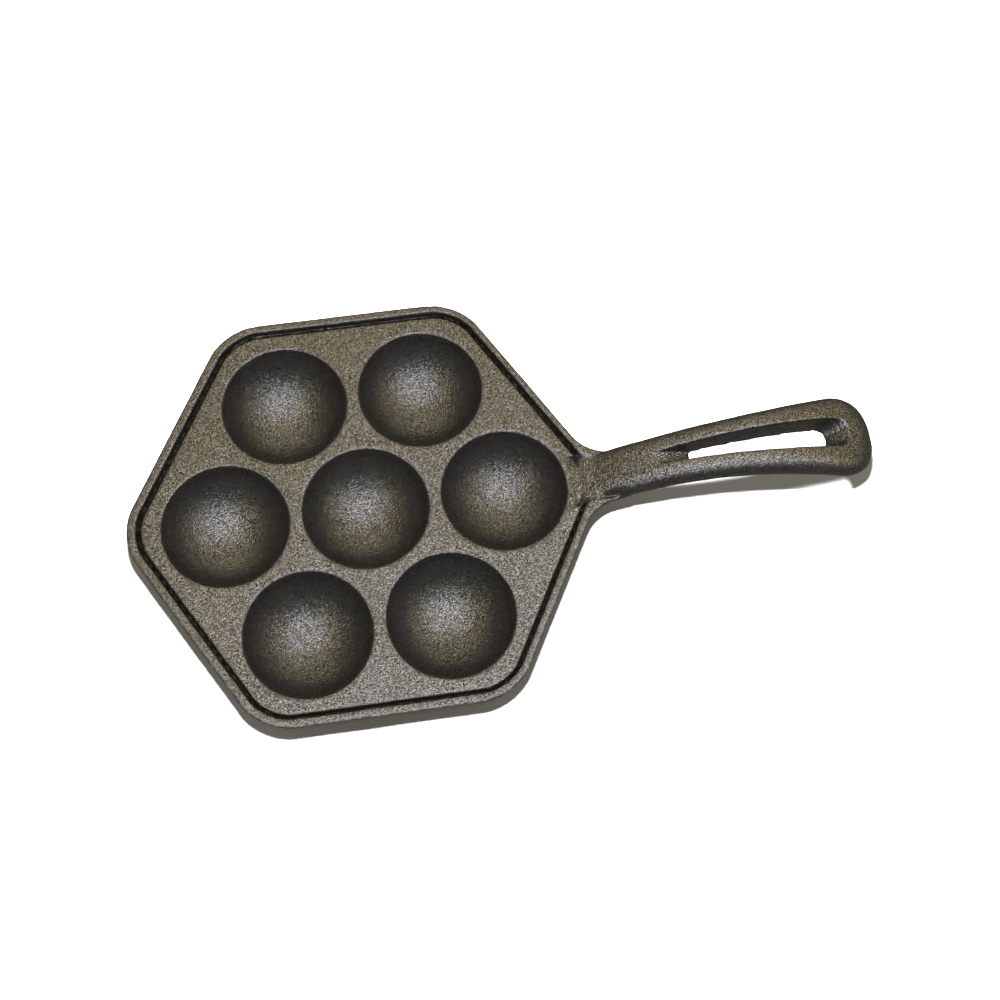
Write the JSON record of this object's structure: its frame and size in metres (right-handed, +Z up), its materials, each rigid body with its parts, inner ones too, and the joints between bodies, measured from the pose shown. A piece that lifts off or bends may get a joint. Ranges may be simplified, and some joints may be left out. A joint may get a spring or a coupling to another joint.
{
  "type": "aebleskiver pan",
  "caption": "Hexagonal sand-cast iron aebleskiver pan: round wells in a flat web, a gutter and low rim round it, and an arched handle with a hanging slot.",
  "frame": {"origin": "middle of the centre well's flat foot, on the table", "axes": "+Z up, square to the web; +X along the handle, away from the wells; +Y to its left, seen from above"},
  "size_m": [0.2967, 0.1668, 0.0446],
  "materials": {
    "seasoned_iron": "sand-cast and seasoned: fine even grain, dark, with a soft sheen"
  },
  "bodies": {
    "root": {"cooking_plate": "seasoned_iron", "rim": "seasoned_iron", "well_centre": "seasoned_iron", "well_east": "seasoned_iron", "well_north_east": "seasoned_iron", "well_north_west": "seasoned_iron", "well_west": "seasoned_iron", "well_south_west": "seasoned_iron", "well_south_east": "seasoned_iron", "handle_neck": "seasoned_iron", "handle_grip": "seasoned_iron"}
  },
  "joints": []
}
